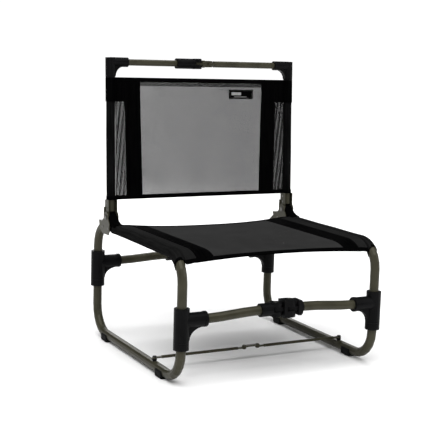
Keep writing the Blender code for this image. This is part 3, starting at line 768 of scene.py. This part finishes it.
for name, y, inward in (("seat_front_hem", SEAT_FRONT, 1), ("seat_rear_hem", SEAT_REAR, -1)):
    made = hem(name, fine_columns(SEAT_EDGE), seat_edge(y, inward), HEM_TALL, 0.0034)
    bend_seat(made or made)
    row = stitch_row(f"{name}_stitches", [seat_place(x, y + inward * (HEM_TALL - 0.002), 0.0017)
                                          for x in steps(-0.236, 0.236, 0.006)])
    bend_seat(row or row)

seat_trim = {"left": [], "right": []}
for side, sign in SIDES.items():
    def seat_band_place(u, y, sign=sign):
        return seat_place(sign * (SEAT_BAND + u), y)

    band = strap(f"seat_{side}_band", steps(0, BAND_WIDTH, 0.006), SEAT_ROWS[:-1],
                 seat_band_place, BAND_THICK)
    seat_trim[side].append(band)
    for edge, u in (("inner", STITCH_INSET), ("outer", BAND_WIDTH - STITCH_INSET)):
        line = [seat_place(sign * (SEAT_BAND + u), y, 0.0018)
                for y in steps(SEAT_REAR - 0.01, SEAT_FRONT + 0.01, 0.008)]
        seat_trim[side].append(stitch_row(f"seat_{side}_band_{edge}_stitches", line))
    for piece in seat_trim[side]:
        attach(piece, f"seat_{side}")


# Materials of the carried-over nodes


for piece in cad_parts.values():
    for slot in piece.material_slots:
        slot.material = LOOKS[slot.material.name.split(".")[0]]


# Floor, light and camera


def stage_floor():
    mesh = bpy.data.meshes.new("floor")
    side = 30
    corners = [(-side, -side, 0), (side, -side, 0), (side, side, 0), (-side, side, 0)]
    mesh.from_pydata(corners, [], [(0, 1, 2, 3)])
    floor = bpy.data.objects.new("floor", mesh)
    bpy.context.scene.collection.objects.link(floor)
    n = Nodes("pale_floor")
    place = n.object_place()
    cloud = n.noise(place, 3)
    colour = n.colours(cloud, (0.0, (0.93, 0.93, 0.93)), (1.0, (0.96, 0.96, 0.96)))
    n.finish(colour, n.spread(cloud, 0.8, 0.9), n.bump(cloud, 0.0001, 0.1), Specular_IOR_Level=0.1)
    mesh.materials.append(n.material)


stage_floor()


def area_light(name, at, target, size, power):
    data = bpy.data.lights.new(name, "AREA")
    data.shape = "DISK"
    data.size = size
    data.energy = power
    made = bpy.data.objects.new(name, data)
    bpy.context.scene.collection.objects.link(made)
    made.location = at
    made.rotation_euler = (Vector(at) - Vector(target)).to_track_quat("Z", "Y").to_euler()


area_light("key", (-2.2, -2.6, 2.4), (0, 0, 0.3), 1.2, 22)
area_light("fill", (2.8, -1.6, 1.6), (0, 0, 0.3), 1.6, 22)
area_light("rim", (0.8, 2.8, 1.6), (0, 0, 0.3), 1.6, 25)

daylight = bpy.data.lights.new("overhead", "SUN")
daylight.energy = 3.7
daylight.angle = math.radians(70)
overhead = bpy.data.objects.new("overhead", daylight)
overhead.rotation_euler = (math.radians(14), math.radians(-10), 0)
bpy.context.scene.collection.objects.link(overhead)

world = bpy.data.worlds.new("studio")
world.use_nodes = True
backdrop = world.node_tree.nodes["Background"]
backdrop.inputs["Color"].default_value = (1, 1, 1, 1)
rays = world.node_tree.nodes.new("ShaderNodeLightPath")
glow = world.node_tree.nodes.new("ShaderNodeMapRange")
glow.inputs["To Min"].default_value = 0.12
glow.inputs["To Max"].default_value = 1.05
world.node_tree.links.new(rays.outputs["Is Camera Ray"], glow.inputs["Value"])
world.node_tree.links.new(glow.outputs["Result"], backdrop.inputs["Strength"])
bpy.context.scene.world = world
bpy.context.scene.view_settings.view_transform = "Standard"

EYE = Vector((-1.2425, -2.3098, 0.7273))
BACKWARDS = Vector((-0.4582, -0.8757, 0.1525)).normalized()
ROLL = math.radians(1.69)
level = Z.cross(BACKWARDS).normalized()
rise = BACKWARDS.cross(level)
right = level * math.cos(ROLL) + rise * math.sin(ROLL)
up = rise * math.cos(ROLL) - level * math.sin(ROLL)
lens = bpy.data.cameras.new("camera")
lens.lens = 88.65
lens.sensor_width = 36
camera = bpy.data.objects.new("camera", lens)
bpy.context.scene.collection.objects.link(camera)
camera.matrix_world = Matrix((right, up, BACKWARDS)).transposed().to_4x4()
camera.location = EYE
bpy.context.scene.camera = camera
